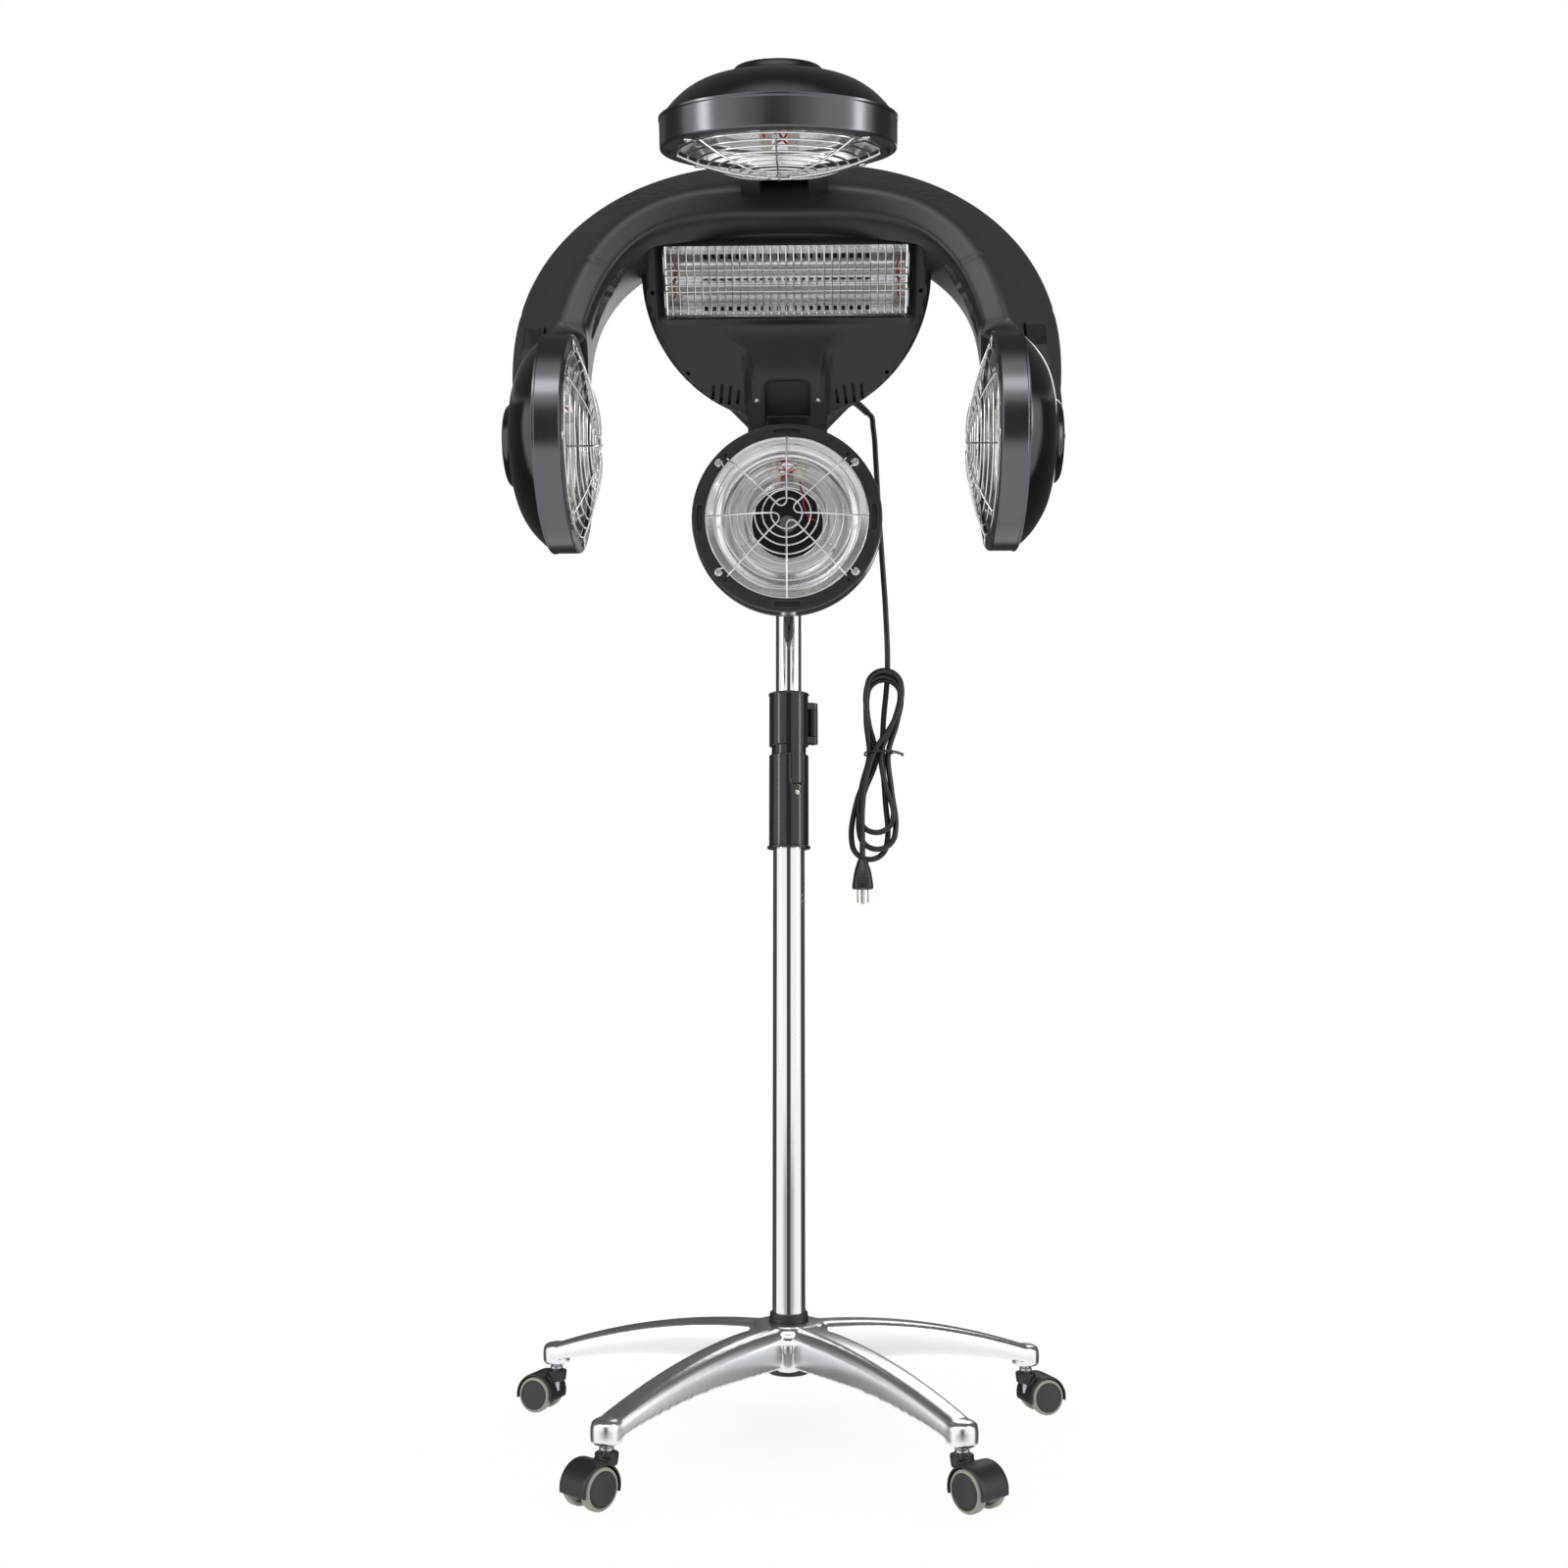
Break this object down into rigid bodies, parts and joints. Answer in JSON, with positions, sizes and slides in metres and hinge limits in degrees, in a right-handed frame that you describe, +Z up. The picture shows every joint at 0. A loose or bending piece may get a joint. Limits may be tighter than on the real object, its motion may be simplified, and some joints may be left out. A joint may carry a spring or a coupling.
{
  "type": "hood hair dryer",
  "caption": "Free-standing hood hair dryer with round lamp heads and a flat heater on an arched hood, clamped on a telescopic column with a star base on casters.",
  "frame": {"origin": "on the floor, under the axis of the column", "axes": "+Z up along the column; -Y towards the seated client, the side the lamp heads are on; +X to the right as seen from the front"},
  "size_m": [0.6638, 0.9459, 1.4746],
  "materials": {
    "cast_aluminium": "polished",
    "bright_steel": "satin",
    "chromed_tube": "polished",
    "black_trim": "satin",
    "lever_black": "glossy",
    "hood_shell": "satin",
    "dome_black": "glossy",
    "band_grey": "satin, dark anodised",
    "reflector_sheet": "bright polished",
    "quartz_tube": "clear",
    "guard_wire": "polished",
    "wheel_tread": "matte",
    "cord_black": "satin"
  },
  "bodies": {
    "base": {"star_base": "cast_aluminium", "hub_trim": "black_trim", "caster_stems": "bright_steel", "lower_tube": "chromed_tube", "clamp_sleeve": "black_trim", "clamp_collar": "black_trim"},
    "clamp_lever_arm": {"clamp_lever": "lever_black"},
    "mast": {"upper_tube": "chromed_tube"},
    "hood": {"swivel_socket": "bright_steel", "rear_cover": "hood_shell", "front_cover": "hood_shell", "left_arm": "hood_shell", "right_arm": "hood_shell", "top_arm": "hood_shell", "nape_arm": "hood_shell", "hinge_pins": "bright_steel", "heater_reflector": "reflector_sheet", "heater_tubes": "quartz_tube", "heater_guard": "guard_wire", "strain_relief": "cord_black", "power_cord": "cord_black", "cord_hank": "cord_black", "power_plug": "cord_black"},
    "head_top": {"top_dome": "dome_black", "top_bezel": "band_grey", "top_reflector": "reflector_sheet", "top_lamp": "quartz_tube", "top_guard": "guard_wire"},
    "head_nape": {"nape_dome": "dome_black", "nape_bezel": "band_grey", "nape_reflector": "reflector_sheet", "nape_lamp": "quartz_tube", "nape_guard": "guard_wire"},
    "head_left": {"left_dome": "dome_black", "left_bezel": "band_grey", "left_reflector": "reflector_sheet", "left_lamp": "quartz_tube", "left_guard": "guard_wire"},
    "head_right": {"right_dome": "dome_black", "right_bezel": "band_grey", "right_reflector": "reflector_sheet", "right_lamp": "quartz_tube", "right_guard": "guard_wire"},
    "power_switch": {"power_rocker": "lever_black"},
    "timer_dial": {"timer_knob": "lever_black"},
    "caster_1_swivel_body": {"caster_1_fork": "black_trim"},
    "caster_1_wheel_pair": {"caster_1_wheels": "black_trim", "caster_1_treads": "wheel_tread"},
    "caster_2_swivel_body": {"caster_2_fork": "black_trim"},
    "caster_2_wheel_pair": {"caster_2_wheels": "black_trim", "caster_2_treads": "wheel_tread"},
    "caster_3_swivel_body": {"caster_3_fork": "black_trim"},
    "caster_3_wheel_pair": {"caster_3_wheels": "black_trim", "caster_3_treads": "wheel_tread"},
    "caster_4_swivel_body": {"caster_4_fork": "black_trim"},
    "caster_4_wheel_pair": {"caster_4_wheels": "black_trim", "caster_4_treads": "wheel_tread"},
    "caster_5_swivel_body": {"caster_5_fork": "black_trim"},
    "caster_5_wheel_pair": {"caster_5_wheels": "black_trim", "caster_5_treads": "wheel_tread"}
  },
  "joints": [
    {"name": "mast_slide", "type": "slide", "parent": "base", "child": "mast", "axis": [0, 0, 1], "range_m": [-0.05, 0.3]},
    {"name": "hood_swivel", "type": "hinge", "parent": "mast", "child": "hood", "pos_m": [0, 0, 1.275], "axis": [0, 0, 1], "continuous": true},
    {"name": "top_head_tilt", "type": "hinge", "parent": "hood", "child": "head_top", "pos_m": [0, -0.41753, 1.37086], "axis": [1, 0, 0], "range_deg": [-15, 15]},
    {"name": "nape_head_tilt", "type": "hinge", "parent": "hood", "child": "head_nape", "pos_m": [0, -0.06694, 1.15368], "axis": [1, 0, 0], "range_deg": [-20, 8]},
    {"name": "right_head_tilt", "type": "hinge", "parent": "hood", "child": "head_right", "pos_m": [0.273, -0.26493, 1.15605], "axis": [0, -0.9205, 0.3907], "range_deg": [-3, 25]},
    {"name": "left_head_tilt", "type": "hinge", "parent": "hood", "child": "head_left", "pos_m": [-0.273, -0.26493, 1.15605], "axis": [0, -0.9205, 0.3907], "range_deg": [-25, 3]},
    {"name": "clamp_lever_turn", "type": "hinge", "parent": "base", "child": "clamp_lever_arm", "pos_m": [0.02913, 0.0106, 0.827], "axis": [0, 0, 1], "range_deg": [-80, 0]},
    {"name": "power_rocker_tilt", "type": "hinge", "parent": "hood", "child": "power_switch", "pos_m": [0, 0.0485, 1.307], "axis": [1, 0, 0], "range_deg": [-7, 7]},
    {"name": "timer_knob_turn", "type": "hinge", "parent": "hood", "child": "timer_dial", "pos_m": [0, 0.047, 1.343], "axis": [0, 1, 0], "range_deg": [0, 300]},
    {"name": "caster_1_swivel", "type": "hinge", "parent": "base", "child": "caster_1_swivel_body", "pos_m": [0, 0.298, 0.049], "axis": [0, 0, 1], "continuous": true},
    {"name": "caster_1_roll", "type": "hinge", "parent": "caster_1_swivel_body", "child": "caster_1_wheel_pair", "pos_m": [0, 0.318, 0.0205], "axis": [-1, 0, 0], "continuous": true},
    {"name": "caster_2_swivel", "type": "hinge", "parent": "base", "child": "caster_2_swivel_body", "pos_m": [-0.28341, 0.09209, 0.049], "axis": [0, 0, 1], "continuous": true},
    {"name": "caster_2_roll", "type": "hinge", "parent": "caster_2_swivel_body", "child": "caster_2_wheel_pair", "pos_m": [-0.30221, 0.09893, 0.0205], "axis": [-0.342, -0.9397, 0], "continuous": true},
    {"name": "caster_3_swivel", "type": "hinge", "parent": "base", "child": "caster_3_swivel_body", "pos_m": [-0.17516, -0.24109, 0.049], "axis": [0, 0, 1], "continuous": true},
    {"name": "caster_3_roll", "type": "hinge", "parent": "caster_3_swivel_body", "child": "caster_3_wheel_pair", "pos_m": [-0.18828, -0.25618, 0.0205], "axis": [0.7547, -0.6561, 0], "continuous": true},
    {"name": "caster_4_swivel", "type": "hinge", "parent": "base", "child": "caster_4_swivel_body", "pos_m": [0.17516, -0.24109, 0.049], "axis": [0, 0, 1], "continuous": true},
    {"name": "caster_4_roll", "type": "hinge", "parent": "caster_4_swivel_body", "child": "caster_4_wheel_pair", "pos_m": [0.18828, -0.25618, 0.0205], "axis": [0.7547, 0.6561, 0], "continuous": true},
    {"name": "caster_5_swivel", "type": "hinge", "parent": "base", "child": "caster_5_swivel_body", "pos_m": [0.28341, 0.09209, 0.049], "axis": [0, 0, 1], "continuous": true},
    {"name": "caster_5_roll", "type": "hinge", "parent": "caster_5_swivel_body", "child": "caster_5_wheel_pair", "pos_m": [0.30221, 0.09893, 0.0205], "axis": [-0.342, 0.9397, 0], "continuous": true}
  ]
}
